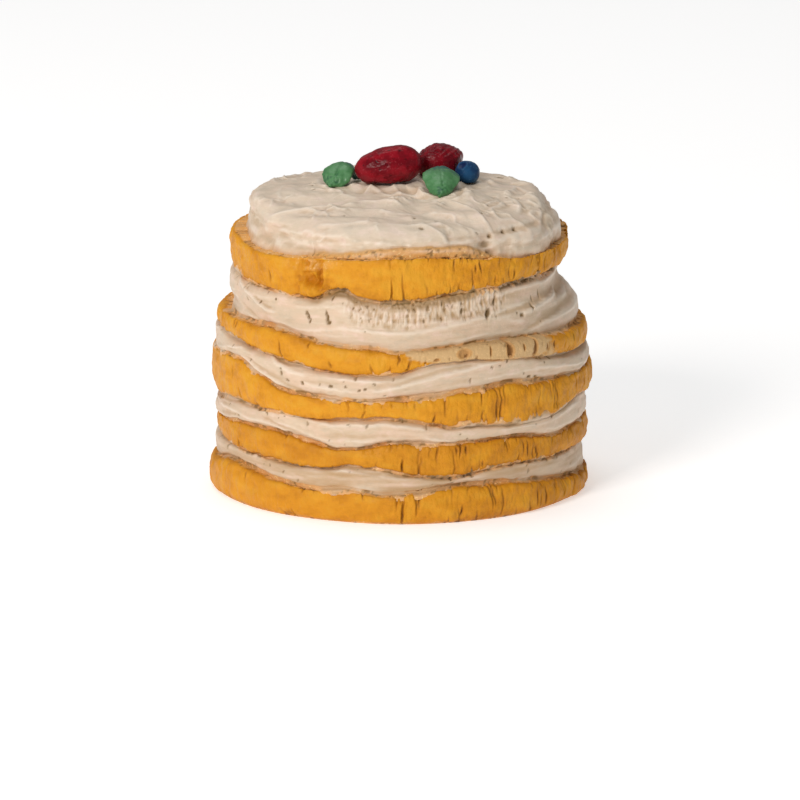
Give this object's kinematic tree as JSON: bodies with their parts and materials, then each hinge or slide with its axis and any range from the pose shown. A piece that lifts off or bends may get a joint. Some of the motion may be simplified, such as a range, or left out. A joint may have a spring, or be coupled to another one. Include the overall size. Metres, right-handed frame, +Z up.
{
  "type": "crepe cake",
  "caption": "Round display crepe cake: thick golden crepes with cream fillings, a spread cream top, and strawberries, a blueberry and leaves on it.",
  "frame": {"origin": "middle of the cake's flat base, at the level of the table or plate", "axes": "+Z up through the cake's middle, -Y towards the front that the picture shows, +X to the right of that view"},
  "size_m": [0.1721, 0.1705, 0.1549],
  "materials": {
    "crepe_paint": "satin",
    "cream_paint": "satin",
    "strawberry_paint": "gloss",
    "blueberry_paint": "gloss",
    "leaf_paint": "satin"
  },
  "bodies": {
    "root": {"crepe_1": "crepe_paint", "crepe_2": "crepe_paint", "crepe_3": "crepe_paint", "crepe_4": "crepe_paint", "crepe_5": "crepe_paint", "cream_1": "cream_paint", "cream_2": "cream_paint", "cream_3": "cream_paint", "cream_4": "cream_paint", "cream_top": "cream_paint", "strawberry_front": "strawberry_paint", "strawberry_back": "strawberry_paint", "blueberry": "blueberry_paint", "leaf_left": "leaf_paint", "leaf_right": "leaf_paint"}
  },
  "joints": []
}
